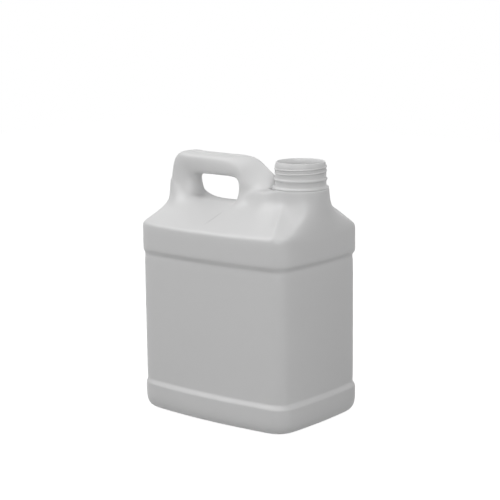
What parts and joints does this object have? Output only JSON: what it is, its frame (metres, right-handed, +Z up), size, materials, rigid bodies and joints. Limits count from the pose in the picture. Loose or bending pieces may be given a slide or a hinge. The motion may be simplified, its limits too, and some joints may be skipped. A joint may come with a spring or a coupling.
{
  "type": "handled plastic jug",
  "caption": "Rectangular blown plastic jug with a recessed label panel, a sloped shoulder, a hollow grip handle and an offset open neck for a screw cap.",
  "frame": {"origin": "centre of the bounding box's bottom, on the plane that the jug stands on", "axes": "+Z up, +X along the jug's length towards the neck, +Y across its width"},
  "size_m": [0.229, 0.167, 0.312],
  "materials": {
    "jug_plastic": "satin"
  },
  "bodies": {
    "root": {"jug": "jug_plastic"}
  },
  "joints": []
}
